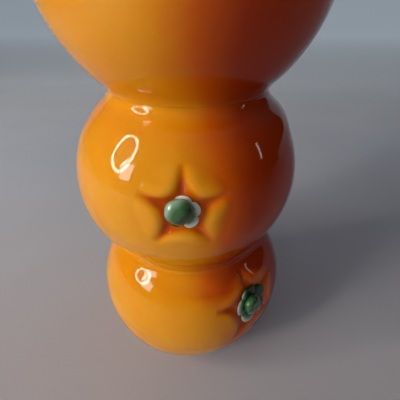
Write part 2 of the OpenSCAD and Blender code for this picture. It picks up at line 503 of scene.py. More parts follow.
@dataclass(frozen=True)
class StalkGlaze:
    """Thick leaf-green glaze on the rolled stalk.

    The eye gets a wet green bead with milky streaks, drawn milky on its upper left and dark green on its
    lower right as painted light and shade.
    """

    name: str = "leaf_green_glaze"
    dark: str = "#22401C"
    green: str = "#3F6B3C"
    milky: str = "#86A88A"
    streak_mm: float = 5.0
    streak_share: float = 0.5
    relief_mm: float = 0.15

    def build(self) -> bpy.types.Material:
        """Make the material.

        Returns:
            The material.
        """
        material, tree, shader = new_material(self.name)
        place = add_node(tree, "ShaderNodeTexCoord").outputs["Object"]
        film = Field.of(tree, "ShaderNodeAttribute", "Fac", attribute_name="run")
        streaks = {"Vector": place, "Scale": per_metre(self.streak_mm), "Detail": 1.0}
        streak = Field.of(tree, "ShaderNodeTexNoise", "Fac", streaks)
        ramp = add_node(tree, "ShaderNodeValToRGB", {"Fac": film + (streak - 0.5) * self.streak_share})
        set_ramp(ramp, {0.2: self.milky, 0.5: self.green, 0.8: self.dark})
        bump = add_node(
            tree, "ShaderNodeBump", {"Height": streak, "Strength": 0.12, "Distance": self.relief_mm * MM}
        )
        plug(
            tree,
            shader,
            {
                "Base Color": ramp.outputs["Color"],
                "Normal": bump.outputs["Normal"],
                "Roughness": 0.18,
                "Coat Weight": 1.0,
                "Coat Roughness": 0.03,
            },
        )
        return material


@dataclass(frozen=True)
class PaleCard:
    """Matt pale card for the studio floor.

    The eye gets a faintly clouded light grey that cools and pales towards the back, with
    a haze far off that only the camera and the gloss see, so that it lights nothing.
    """

    name: str = "matt_pale_card"
    near: str = "#A59C9D"
    beside: str = "#C0C4CC"
    back: str = "#F4F7FA"
    cloud_mm: float = 60.0
    cloud_share: float = 0.065
    fade_mm: float = 1100.0
    haze: str = "#B0C4CE"
    haze_from_mm: float = 350.0
    haze_mm: float = 1100.0
    haze_level: float = 0.3

    def build(self) -> bpy.types.Material:
        """Make the material.

        Returns:
            The material.
        """
        material, tree, shader = new_material(self.name)
        place = add_node(tree, "ShaderNodeTexCoord").outputs["Object"]
        clouds = {"Vector": place, "Scale": per_metre(self.cloud_mm), "Detail": 2.0}
        cloud = Field.of(tree, "ShaderNodeTexNoise", "Fac", clouds)
        depth = Field(tree, place)["Y"]
        back = depth / (self.fade_mm * MM) + 0.5
        ramp = add_node(tree, "ShaderNodeValToRGB", {"Fac": back + (cloud - 0.5) * self.cloud_share})
        set_ramp(ramp, {0.4: self.near, 0.66: self.beside, 0.95: self.back})
        path = add_node(tree, "ShaderNodeLightPath").outputs
        seen = Field(tree, path["Is Camera Ray"])
        for other in ("Is Glossy Ray", "Is Transmission Ray"):
            seen = seen.apply("MAXIMUM", path[other])
        far = ((depth - self.haze_from_mm * MM) / (self.haze_mm * MM)).clamped()
        plug(
            tree,
            shader,
            {
                "Base Color": ramp.outputs["Color"],
                "Emission Color": linear(self.haze),
                "Emission Strength": far * seen * self.haze_level,
                "Roughness": 0.9,
            },
        )
        return material


@dataclass(frozen=True)
class Stem:
    """Where a fruit's stem points, how large its calyx is and how the green glaze lies on it, with
    painted shade drawn as deeper green on one side of the calyx and over the whole of a shaded one.
    """

    turn: float
    rise: float
    calyx_d: float
    spin: float = 0.0
    shaded_green_side: Triple = (0.0, 0.0, 0.0)
    # Darker glaze over the whole calyx and stalk, which paints the shade they sit in.
    pooled_and_shaded: float = 0.0

    def rotation(self) -> Matrix:
        """Return the turn from the stem's frame, +Z outwards and +Y upwards, to the stack's."""
        tilt = Euler((math.radians(90 - self.rise), 0, math.radians(self.turn)), "XYZ")
        return tilt.to_matrix() @ Matrix.Rotation(-math.radians(self.spin), 3, "Z")


@dataclass(frozen=True)
class ProfilePoint:
    """A point of the outline that is turned about the stack's axis."""

    r: float
    z: float
    glaze: float = 0.45
    bare: float = 0.0
    belly: float = 0.0
    neck: float = 0.0


@dataclass(frozen=True)
class FruitSizes:
    """Sizes of one fruit, as its solid has them, and how the hand-made one departs from round."""

    globe_r: float
    low: float
    high: float
    foot_r: float
    neck_r: float = 0.0
    on_table: bool = False
    shift: float = 0.0
    full_side: Triple = (-0.8, -0.3, -0.5)
    fullness: float = 0.0
    # Side turned from the lamps, where the glaze is drawn thicker and redder as painted shade.
    painted_shade_side: Triple = (1.0, 0.1, 0.1)
    globe_z: float = 33.8
    foot_w: float = 4.5
    recess_h: float = 2.2
    boss_h: float = 1.6
    boss_gap: float = 1.0
    vent_r: float = 3.0
    vent_depth: float = 4.8
    flare_w: float = 5.0
    foot_flare_w: float = 2.4
    star_depth: float = 2.4
    crease_run: float = 8.9
    crease_slot: float = 1.6
    bulge_roll: float = 3.3
    bulge_swell: float = 1.6
    notch_in: float = 0.9
    groove_w: float = 1.3
    groove_depth: float = 0.8
    dimple_depth: float = 2.1
    dimple_reach: float = 7.5

    @property
    def boss_r(self) -> float:
        """Radius of the boss on the seat."""
        return self.neck_r - self.foot_w - self.boss_gap

    def height_at(self, r: float) -> float:
        """Return the globe's height from its middle, at a distance from the axis."""
        return self.globe_z * math.sqrt(1 - (r / self.globe_r) ** 2)

    def slope_at(self, r: float) -> float:
        """Return how fast the globe's height falls, at a distance from the axis."""
        return (self.globe_z / self.globe_r) ** 2 * r / self.height_at(r)

    def floor_height(self, rise: float) -> float:
        """Find the floor of the star hollow.

        Args:
            rise: How far the stem points up.

        Returns:
            The floor's distance from the globe's middle.
        """
        across = math.cos(math.radians(rise)) / self.globe_r
        up = math.sin(math.radians(rise)) / self.globe_z
        return 1 / math.hypot(across, up) - self.star_depth

    def bulge_r(self, floor_r: float) -> float:
        """Return the radius of the bulges' round fronts, which nearly meet beside a crease."""
        narrow = math.sin(SECTOR / 2)
        return ((floor_r + self.bulge_roll) * narrow - self.crease_slot) / (1 - narrow)


def arc(r: float, z: float, radius: float, start: float, end: float, steps: int) -> list[Point]:
    """Return points along an arc.

    Args:
        r: The centre's distance from the axis.
        z: The centre's height.
        radius: The arc's radius.
        start: The first angle, from outwards, in degrees.
        end: The last angle.
        steps: The number of steps.

    Returns:
        Distance from the axis and height of each point.
    """
    angles = [math.radians(start + (end - start) * i / steps) for i in range(steps + 1)]
    return [(r + radius * math.cos(a), z + radius * math.sin(a)) for a in angles]


def bend(controls: list[Point], steps: int) -> list[Point]:
    """Return points along a smooth bend that is drawn towards its middle controls.

    Args:
        controls: The first point, the corners that are rounded, and the last point.
        steps: The number of steps.

    Returns:
        Distance from the axis and height of each point.
    """
    order = len(controls) - 1
    points = []
    for i in range(steps + 1):
        t = i / steps
        weights = [math.comb(order, k) * t ** k * (1 - t) ** (order - k) for k in range(order + 1)]
        points.append(tuple(sum(w * p[axis] for w, p in zip(weights, controls)) for axis in (0, 1)))
    return points


@dataclass(frozen=True)
class FruitOutline:
    """The half outline of a fruit, from its vent round the foot and belly to its seat or crown."""

    sizes: FruitSizes
    edge: float = 0.5
    seam_edge: float = 0.12
    foot_round: float = 0.9
    foot_bend: float = 1.3
    flat_band: float = 2.0
    seat_band: float = 1.5
    film: float = 0.34
    # Thicker glaze in the necks: a real pool of glaze that also paints the shade there.
    neck_pool_and_shade: float = 0.08
    recess_film: float = 0.6
    wiped_film: float = 0.25
    lean_share: float = 0.07
    wall_share: float = 0.5
    shoulder_share: float = 0.37
    neck_fade: float = 6.0
    calm_end: float = 0.25
    crown_share: float = 0.75
    belly_step: float = 0.36
    crown_step: float = 0.9
    flare_steps: int = 24
    bend_steps: int = 12
    foot_steps: int = 8
    boss_steps: int = 6
    edge_steps: int = 5
    lip_steps: int = 4

    def glazed(self, curve: list[Point]) -> list[ProfilePoint]:
        """Return the points of a neck, with the pool of glaze that gathers there and the painted shade
        drawn into it.
        """
        return [ProfilePoint(r, z, glaze=self.film + self.neck_pool_and_shade, neck=1.0) for r, z in curve]

    def flare(self, neck_r: float, seat: float, width: float) -> list[Point]:
        """Return the hollow curve of a neck, from the seam out to the globe.

        Args:
            neck_r: The radius at the seam.
            seat: The height of the seam from the fruit's middle.
            width: How far the curve reaches out from the seam.

        Returns:
            Distance from the axis and height of each point.
        """
        s = self.sizes
        reach = neck_r + width
        shoulder_w = width * self.shoulder_share
        end = (reach, s.height_at(reach))
        start = (neck_r, seat - self.seam_edge)
        wall = (neck_r + width * self.lean_share, seat - width * self.wall_share)
        shoulder = (reach - shoulder_w, end[1] + s.slope_at(reach) * shoulder_w)
        return bend([start, wall, shoulder, end], self.flare_steps)

    def underside(self) -> list[ProfilePoint]:
        """Draw the outline from the vent to the flat face of the foot.

        Returns:
            The points of the outline.
        """
        s = self.sizes
        base = -s.low
        floor = base + s.recess_h
        bore = s.foot_r - s.foot_w
        edge = self.edge
        vent = [(0.0, floor + s.vent_depth), (s.vent_r, floor + s.vent_depth)]
        vent += arc(s.vent_r + edge, floor + edge, edge, 180, 270, self.edge_steps)
        recess = [(s.vent_r + self.flat_band, floor), (bore - self.flat_band, floor)]
        recess += bend([(bore - edge, floor), (bore, floor), (bore, floor - edge)], self.edge_steps)
        inner = arc(bore + edge, base + edge, edge, 180, 270, self.foot_steps)
        outer = s.foot_r - (self.foot_round if s.on_table else self.seam_edge)
        points = [ProfilePoint(r, z, glaze=self.recess_film) for r, z in vent + recess]
        points += [ProfilePoint(r, z, glaze=self.wiped_film) for r, z in inner[:-1]]
        points += [ProfilePoint(*inner[-1], bare=1.0), ProfilePoint(outer - edge, base, bare=1.0)]
        return points + [ProfilePoint(outer, base, glaze=self.wiped_film)]

    def foot_side(self) -> list[ProfilePoint]:
        """Draw the outer side of the foot, rounded on a table and flared on another fruit.

        Returns:
            The points of the outline.
        """
        s = self.sizes
        base = -s.low
        turn = self.foot_round if s.on_table else self.seam_edge
        steps = self.foot_steps if s.on_table else self.lip_steps
        curve = arc(s.foot_r - turn, base + turn, turn, 270, 360, steps)[1:]
        if s.on_table:
            meet = -s.height_at(s.foot_r)
            high = meet + self.foot_bend
            wall = (s.foot_r, meet - self.foot_bend / 2)
            belly = (s.globe_r * math.sqrt(1 - (high / s.globe_z) ** 2), high)
            curve += bend([wall, (s.foot_r, meet), belly], self.bend_steps)
        else:
            flare = self.flare(s.foot_r, s.low, s.foot_flare_w)
            curve += [(r, -z) for r, z in flare[1:]]
        return self.glazed(curve)

    def belly(self, start_z: float) -> list[ProfilePoint]:
        """Draw the outline from the foot's side up to the seat's flare, or to the crown.

        Args:
            start_z: The height at which the belly begins.

        Returns:
            The points of the outline.
        """
        s = self.sizes
        start = math.asin(start_z / s.globe_z)
        end = math.asin(s.height_at(s.neck_r + s.flare_w) / s.globe_z if s.neck_r else self.crown_share)
        count = round((end - start) * s.globe_r / self.belly_step)
        angles = [start + (end - start) * i / count for i in range(1, count + 1)]
        if not s.neck_r:
            rest = math.pi / 2 - end
            count = round(rest * s.globe_r / self.crown_step)
            angles += [end + rest * i / count for i in range(1, count + 1)]
        points = []
        for angle in angles:
            ends = min(angle - start, end - angle if s.neck_r else math.pi)
            neck = math.exp(-ends * s.globe_r / self.neck_fade)
            points.append(
                ProfilePoint(
                    r=max(0.0, s.globe_r * math.cos(angle)),
                    z=s.globe_z * math.sin(angle),
                    glaze=self.film + self.neck_pool_and_shade * neck,
                    belly=ease(min(1.0, ends / self.calm_end)),
                    neck=neck,
                )
            )
        return points

    def seat(self) -> list[ProfilePoint]:
        """Draw the outline of the flare, the seat and the boss that carry another tier.

        Returns:
            The points of the outline.
        """
        s = self.sizes
        edge = self.edge
        lip = self.seam_edge
        top = s.high + s.boss_h
        root = [(s.boss_r + edge, s.high), (s.boss_r, s.high), (s.boss_r, s.high + edge)]
        outline = self.flare(s.neck_r, s.high, s.flare_w)[-2::-1]
        outline += arc(s.neck_r - lip, s.high - lip, lip, 0, 90, self.lip_steps)[1:]
        outline += [(s.boss_r + self.seat_band, s.high)]
        outline += bend(root, self.edge_steps)
        outline += arc(s.boss_r - edge, top - edge, edge, 0, 90, self.boss_steps)
        outline += [(s.boss_r - self.flat_band, top), (s.boss_r / 2, top), (0.0, top)]
        return self.glazed(outline)

    def build(self) -> bpy.types.Mesh:
        """Join the parts of the outline.

        Returns:
            Points in the XZ plane, with the thickness of the glaze on each.
        """
        points = self.underside() + self.foot_side()
        points += self.belly(points[-1].z)
        if self.sizes.neck_r:
            points += self.seat()
        mesh = bpy.data.meshes.new("fruit_outline")
        mesh.from_pydata([(p.r * MM, 0.0, p.z * MM) for p in points], [], [])
        for name in ("glaze", "bare", "belly", "neck"):
            values = mesh.attributes.new(name, "FLOAT", "POINT").data
            values.foreach_set("value", [getattr(p, name) for p in points])
        return mesh


@dataclass(frozen=True)
class Star:
    """How much of each part of the star hollow there is at a point of the skin.

    The floor is the flat that carries the calyx, the swell is the crest of a bulge, and the
    edge over which a bulge falls to the floor carries a painted highlight line.
    """

    facing: Field
    floor: Field
    groove: Field
    swell: Field
    brink_highlight: Field
    dimple: Field


@dataclass
class FruitBody:
    """The hollow fruit with its foot ring, star hollow and boss."""

    glaze: bpy.types.Material
    clay: bpy.types.Material
    columns: int = 401
    crowding: float = 0.55
    merge: float = 0.001
    # Hand-made unevenness of the globe.
    wobble: float = 0.35
    wobble_size: float = 24.0
    wobble_spread: float = 3.0
    full_power: float = 8.0
    # How the bulges of the star fall to its floor and its creases, and where they end.
    star_pull: float = 0.08
    crease_softness: float = 0.08
    fall_power: float = 1.5
    run_power: float = 0.6
    groove_power: float = 0.5
    crest_back: float = 0.5
    brink_back: float = 0.25
    brink_sharpness: float = 2.0
    # Thickness of the glaze, where 0 is broken through and 1 is a full pool. Some values paint light:
    # the edge and crest values paint highlights on the bulges, the left values paint shade in the
    # hollow left of the stem, and the shade values paint shade on the side turned from the lamps.
    brink_highlight_share: float = 0.36
    crest_film_and_highlight: float = 0.4
    valley_film: float = 0.76
    valley_share: float = 0.85
    valley_gain: float = 2.5
    groove_gain: float = 0.9
    left_shade_film: float = 0.17
    left_shade_turn: float = 8.0
    # Painted shade: glaze drawn thicker on the side turned from the lamps, swinging to the stack's right
    # near a neck.
    painted_shade_film: float = 0.68
    painted_shade_start: float = 0.23
    painted_shade_gain: float = 1.35
    painted_shade_neck_back: float = 0.06
    bare_from: float = 0.99

    def __post_init__(self) -> None:
        """Make the tree that all fruits share."""
        self.tree = self.make_tree()

    def star(self, t: Tree, ray: Field) -> Star:
        """Return the star hollow as formulas of the place on the skin.

        Args:
            t: The fruit's tree.
            ray: The way from the fruit's middle to the point.

        Returns:
            How much of each part of the star there is.
        """
        floor = t.field("Floor radius")
        roll = t.field("Bulge roll")
        run = t.field("Crease run")
        front = t.field("Bulge radius")
        facing = ray.dot(t.field("Stem"))
        distance = facing.apply("ARCCOSINE") * t.field("Fruit radius")
        sweep = ray.dot(t.field("Right")).apply("ARCTAN2", ray.dot(t.field("Up")))
        pulled = sweep + sweep.apply("SINE") * self.star_pull
        off_crease = 1.0 - ((pulled / SECTOR).apply("FRACT") * 2.0 - 1.0).apply("ABSOLUTE")
        softened = (off_crease ** 2.0 + self.crease_softness ** 2).apply("SQRT")
        aside = (1.0 - softened) * (SECTOR / 2)
        ahead = distance * aside.apply("COSINE") - (floor + roll + front)
        beside = distance * aside.apply("SINE")
        gap = ((ahead * ahead + beside * beside).apply("SQRT") - front) / roll
        left = ((floor + run - distance) / run).clamped()
        across = off_crease * distance * (SECTOR / 2) / t.field("Groove width")
        begun = ((distance - floor) / roll).clamped()
        return Star(
            facing=facing,
            floor=gap.clamped() ** self.fall_power * left ** self.run_power,
            groove=across.hump() * begun * left ** self.groove_power,
            swell=(gap + self.crest_back).hump() * left,
            brink_highlight=((gap + self.brink_back) * self.brink_sharpness).hump() * left,
            dimple=(distance / t.field("Dimple width")).hump(),
        )

    def skin(self, t: Tree, turned: Field, star: Star, belly: Field, neck: Field) -> Field:
        """Return how far the hand-made skin lies from the fruit's middle.

        Args:
            t: The fruit's tree.
            turned: The point of the outline, turned about the axis.
            star: The star hollow at the point.
            belly: How freely the globe departs from round.
            neck: How near the point is to a neck.

        Returns:
            The distance, in metres.
        """
        ray = turned.apply("NORMALIZE", kind=VECTORS)
        drift = turned.apply("ADD", t.field("Wobble place"), kind=VECTORS)
        size = t.field("Wobble size") ** -1.0
        wander = t.out("ShaderNodeTexNoise", "Fac", {"Vector": drift, "Scale": size, "Detail": 1.0})
        full = ray.dot(t.field("Full side")).clamped() ** self.full_power * t.field("Fullness")
        lean = ray.dot(t.field("Shift")) + full - wander * t.field("Wobble")
        plump = turned.length() + lean * belly + star.swell * t.field("Bulge swell")
        raised = plump - star.dimple * t.field("Dimple depth") * (1.0 - neck)
        pressed = raised.towards(t.field("Floor height") / star.facing, star.floor)
        return pressed - star.groove * t.field("Groove depth")

    def film(self, t: Tree, ray: Field, star: Star, glaze: Field, neck: Field) -> Field:
        """Return the glaze's thickness, into which painted shade and painted highlights are drawn.

        Args:
            t: The fruit's tree.
            ray: The way from the fruit's middle to the point.
            star: The star hollow at the point.
            glaze: The outline's own thickness.
            neck: How near the point is to a neck.

        Returns:
            The thickness, from 0 to 1.
        """
        thinning = t.field("Crest thinning and highlight")
        # Painted shade: thicker, redder glaze on the side turned from the lamps.
        side = ray.dot(t.field("Painted shade side")).towards(ray["X"] - self.painted_shade_neck_back, neck)
        painted_shade = ease(((side + self.painted_shade_start) * self.painted_shade_gain).clamped())
        # Painted shade: the pool in the hollow is drawn thicker to the left of the stem.
        left_shade = (ray.dot(t.field("Right")) * -self.left_shade_turn).clamped()
        # Paler glaze over each bulge's crest, where glaze thins, drawn stronger as a painted highlight.
        crest = (star.swell * thinning).clamped()
        valley = (star.floor * self.valley_gain + star.groove * self.groove_gain).clamped()
        # Painted highlight: the glaze is drawn broken through along each bulge's edge, a pale line in
        # place of the gloss there.
        brink_highlight = (star.brink_highlight * thinning * self.brink_highlight_share).clamped()
        film = (glaze + painted_shade * self.painted_shade_film).towards(self.crest_film_and_highlight, crest)
        pool = left_shade * self.left_shade_film + self.valley_film
        return film.towards(pool, valley * self.valley_share).towards(0.0, brink_highlight)

    def make_tree(self) -> Tree:
        """Make the tree that turns an outline about the axis and presses the star in.

        Returns:
            The tree.
        """
        t = Tree(
            "turned_fruit_with_star",
            {
                "Outline": "Geometry", "Columns": "Int", "Middle": "Vector", "Stem": "Vector",
                "Up": "Vector", "Right": "Vector", "Turn": "Float", "Fruit radius": "Float",
                "Floor height": "Float", "Floor radius": "Float", "Bulge roll": "Float",
                "Bulge radius": "Float", "Bulge swell": "Float", "Crest thinning and highlight": "Float",
                "Crease run": "Float", "Groove width": "Float", "Groove depth": "Float",
                "Dimple depth": "Float", "Dimple width": "Float",
                "Shift": "Vector", "Full side": "Vector", "Fullness": "Float", "Painted shade side": "Vector",
                "Wobble": "Float", "Wobble size": "Float", "Wobble place": "Vector",
                "Glaze": "Material", "Clay": "Material",
            },
        )
        outline = t.field("Outline")
        rows = t.out("GeometryNodeAttributeDomainSize", "Point Count", {"Geometry": outline})
        grid = t.node("GeometryNodeMeshGrid", {"Vertices X": t.field("Columns"), "Vertices Y": rows})
        spread = Field(t.group, grid.outputs["UV Map"])
        row = (spread["Y"] * (rows - 1.0)).apply("ROUND")

        def along(value: Field, kind: str) -> Field:
            """Return a value of the outline, carried to every column."""
            inputs = {"Geometry": outline, "Value": value, "Index": row}
            return t.out("GeometryNodeSampleIndex", 0, inputs, data_type=kind)

        def named(name: str) -> Field:
            """Return one of the outline's attributes, carried to every column."""
            return along(t.out("GeometryNodeInputNamedAttribute", 0, {"Name": name}), "FLOAT")

        point = along(t.out("GeometryNodeInputPosition", 0), "FLOAT_VECTOR")
        lap = (spread["X"] - 0.5) * math.tau
        angle = t.field("Turn") + lap - lap.apply("SINE") * self.crowding
        reach = point["X"]
        turned = t.out(
            "ShaderNodeCombineXYZ",
            0,
            {
                "X": reach * angle.apply("SINE"),
                "Y": reach * angle.apply("COSINE") * -1.0,
                "Z": point["Z"],
            },
        )
        ray = turned.apply("NORMALIZE", kind=VECTORS)
        neck = named("neck")
        star = self.star(t, ray)
        length = self.skin(t, turned, star, named("belly"), neck)
        placed = ray.apply("MULTIPLY", length, kind=VECTORS).apply("ADD", t.field("Middle"), kind=VECTORS)
        film = self.film(t, ray, star, named("glaze"), neck)
        shape = Field(t.group, grid.outputs["Mesh"])
        for name, value in (("glaze", film), ("bare", named("bare"))):
            inputs = {"Geometry": shape, "Name": name, "Value": value}
            shape = t.out("GeometryNodeStoreNamedAttribute", 0, inputs)
        shape = t.out("GeometryNodeSetPosition", 0, {"Geometry": shape, "Position": placed})
        shape = t.out("GeometryNodeMergeByDistance", 0, {"Geometry": shape, "Distance": self.merge * MM})
        bare = t.out("GeometryNodeInputNamedAttribute", 0, {"Name": "bare"})
        t.finish(shape, {"Glaze": None, "Clay": bare.apply("GREATER_THAN", self.bare_from)})
        return t

    def build(self, name: str, outline: FruitOutline, middle: Vector, stem: Stem) -> bpy.types.Object:
        """Make one fruit.

        Args:
            name: The piece's name.
            outline: The fruit's outline, with its sizes.
            middle: The fruit's middle, in metres.
            stem: Where its stem points.

        Returns:
            The fruit's skin.
        """
        sizes = outline.sizes
        axes = stem.rotation()
        floor_r = stem.calyx_d / 2 - sizes.notch_in
        return self.tree.bake(
            outline.build(),
            name,
            {
                "Columns": self.columns,
                "Middle": middle,
                "Stem": axes.col[2],
                "Up": axes.col[1],
                "Right": axes.col[0],
                "Turn": math.radians(stem.turn),
                "Fruit radius": sizes.globe_r * MM,
                "Floor height": sizes.floor_height(stem.rise) * MM,
                "Floor radius": floor_r * MM,
                "Bulge roll": sizes.bulge_roll * MM,
                "Bulge radius": sizes.bulge_r(floor_r) * MM,
                "Bulge swell": sizes.bulge_swell * MM,
                "Crest thinning and highlight": sizes.bulge_swell,
                "Crease run": sizes.crease_run * MM,
                "Groove width": sizes.groove_w * MM,
                "Groove depth": sizes.groove_depth * MM,
                "Dimple depth": sizes.dimple_depth * MM,
                "Dimple width": (floor_r + sizes.dimple_reach) * MM,
                "Shift": Vector((sizes.shift * MM, 0, 0)),
                "Full side": Vector(sizes.full_side).normalized(),
                "Fullness": sizes.fullness * MM,
                "Painted shade side": Vector(sizes.painted_shade_side).normalized(),
                "Wobble": self.wobble * MM,
                "Wobble size": self.wobble_size * MM,
                "Wobble place": middle * self.wobble_spread,
                "Glaze": self.glaze,
                "Clay": self.clay,
            },
        )


@dataclass
class Calyx:
    """Five rounded lobes round a hub, pressed on to the floor of the star hollow."""

    glaze: bpy.types.Material
    thickness: float = 1.35
    sink: float = 0.16
    dome_share: float = 0.58
    hub_share: float = 0.66
    hub_height: float = 1.55
    # A lobe's width as a share of the calyx's radius, how it widens to its tip, its curl and its rib.
    lobe_share: float = 1.08
    root_share: float = 0.6
    widening: float = 0.45
    curl: float = 0.35
    curl_power: float = 3.0
    rib: float = 0.14
    rib_sharpness: float = 4.0
    rib_fade: float = 0.6
    # Small differences between the lobes, in radians and as a share of the size.
    sway: float = 0.07
    least_size: float = 0.92
    pooled_and_shaded_share: float = 0.3
    lobe_segments: int = 40
    lobe_rings: int = 28
    hub_segments: int = 48
    hub_rings: int = 24

    def __post_init__(self) -> None:
        """Make the tree that all calyxes share."""
        self.tree = self.make_tree()

    def lobe(self, t: Tree, place: Field) -> Field:
        """Return one lobe, which points along +Y.

        Args:
            t: The calyx's tree.
            place: The place of a point.

        Returns:
            The lobe's geometry.
        """
        ball = t.out(
            "GeometryNodeMeshUVSphere", 0, {"Segments": self.lobe_segments, "Rings": self.lobe_rings}
        )
        side = place["X"]
        along = place["Y"] * 0.5 + 0.5
        above = place["Z"]
        width = (along * self.widening + self.root_share) * t.field("Lobe width") * 0.5
        domed = above * ((1 - self.sink) * self.dome_share) + (1 - self.dome_share - self.sink / 2)
        upper = above.apply("MAXIMUM", 0.0) * (1.0 - along * self.rib_fade)
        rib = (side * self.rib_sharpness).hump() * upper * t.field("Rib")
        curl = along ** self.curl_power * t.field("Curl")
        petal = t.out(
            "ShaderNodeCombineXYZ",
            0,
            {
                "X": side * width,
                "Y": along * t.field("Radius"),
                "Z": domed * t.field("Thickness") + curl - rib,
            },
        )
        return t.out("GeometryNodeSetPosition", 0, {"Geometry": ball, "Position": petal})

    def make_tree(self) -> Tree:
        """Make the tree that repeats a lobe round the hub.

        Returns:
            The tree.
        """
        t = Tree(
            "calyx_of_lobes",
            {
                "Radius": "Float", "Lobe width": "Float", "Thickness": "Float", "Curl": "Float",
                "Rib": "Float", "Hub radius": "Float", "Hub height": "Float", "Lobes": "Int",
                "Seed": "Int", "Place": "Vector", "Stem": "Vector", "Up": "Vector",
                "Right": "Vector", "Shaded green side": "Vector", "Pooled and shaded": "Float", "Glaze": "Material",
            },
        )
        place = t.out("GeometryNodeInputPosition", 0)
        number = t.out("GeometryNodeInputIndex", 0)
        seed = t.field("Seed")
        jitter, size = (
            t.out("FunctionNodeRandomValue", 1, {2: least, 3: most, "ID": number, "Seed": draw})
            for least, most, draw in ((-self.sway, self.sway, seed), (self.least_size, 1.0, seed + 1.0))
        )
        heading = t.out(
            "FunctionNodeAxisAngleToRotation",
            0,
            {"Axis": (0.0, 0.0, 1.0), "Angle": number * SECTOR + jitter},
        )
        points = t.out("GeometryNodePoints", 0, {"Count": t.field("Lobes")})
        ring = t.out(
            "GeometryNodeInstanceOnPoints",
            0,
            {"Points": points, "Instance": self.lobe(t, place), "Rotation": heading, "Scale": size},
        )
        ring = t.out("GeometryNodeRealizeInstances", 0, {"Geometry": ring})

        dome = t.out(
            "GeometryNodeMeshUVSphere", 0, {"Segments": self.hub_segments, "Rings": self.hub_rings}
        )
        wide = t.field("Hub radius")
        hub_shape = t.out("ShaderNodeCombineXYZ", 0, {"X": wide, "Y": wide, "Z": t.field("Hub height")})
        domed = place.apply("MULTIPLY", hub_shape, kind=VECTORS)
        hub = t.out("GeometryNodeSetPosition", 0, {"Geometry": dome, "Position": domed})

        joined = t.node("GeometryNodeJoinGeometry", {"Geometry": ring})
        plug(t.group, joined, {"Geometry": hub})
        flat = place.apply("MULTIPLY", (1.0, 1.0, 0.0), kind=VECTORS).length()
        # Painted shade: the calyx is drawn deeper green on its shaded side.
        side_shade = place.dot(t.field("Shaded green side")).apply("MAXIMUM", 0.0)
        reach = (flat - side_shade) / t.field("Radius") - t.field("Pooled and shaded") * self.pooled_and_shaded_share
        marked = {"Geometry": joined.outputs[0], "Name": "reach", "Value": reach}
        shape = t.out("GeometryNodeStoreNamedAttribute", 0, marked)
        turned = t.field("Place")
        for axis, part in (("Right", "X"), ("Up", "Y"), ("Stem", "Z")):
            step = t.field(axis).apply("MULTIPLY", place[part], kind=VECTORS)
            turned = turned.apply("ADD", step, kind=VECTORS)
        shape = t.out("GeometryNodeSetPosition", 0, {"Geometry": shape, "Position": turned})
        t.finish(shape, {"Glaze": None})
        return t

    def build(self, name: str, place: Vector, stem: Stem, seed: int) -> bpy.types.Object:
        """Make one calyx.

        Args:
            name: The piece's name.
            place: The middle of the hollow's floor, in metres.
            stem: Where the stem points and how large the calyx is.
            seed: The seed of the small differences between lobes.

        Returns:
            The calyx.
        """
        radius = stem.calyx_d / 2
        axes = stem.rotation()
        return self.tree.bake(
            bpy.data.meshes.new(name),
            name,
            {
                "Radius": radius * MM,
                "Lobe width": radius * self.lobe_share * MM,
                "Thickness": self.thickness * MM,
                "Curl": self.curl * MM,
                "Rib": self.rib * MM,
                "Hub radius": radius * self.hub_share * MM,
                "Hub height": self.hub_height * MM,
                "Lobes": LOBES,
                "Seed": seed,
                "Place": place,
                "Stem": axes.col[2],
                "Up": axes.col[1],
                "Right": axes.col[0],
                "Shaded green side": Vector(stem.shaded_green_side),
                "Pooled and shaded": stem.pooled_and_shaded,
                "Glaze": self.glaze,
            },
        )


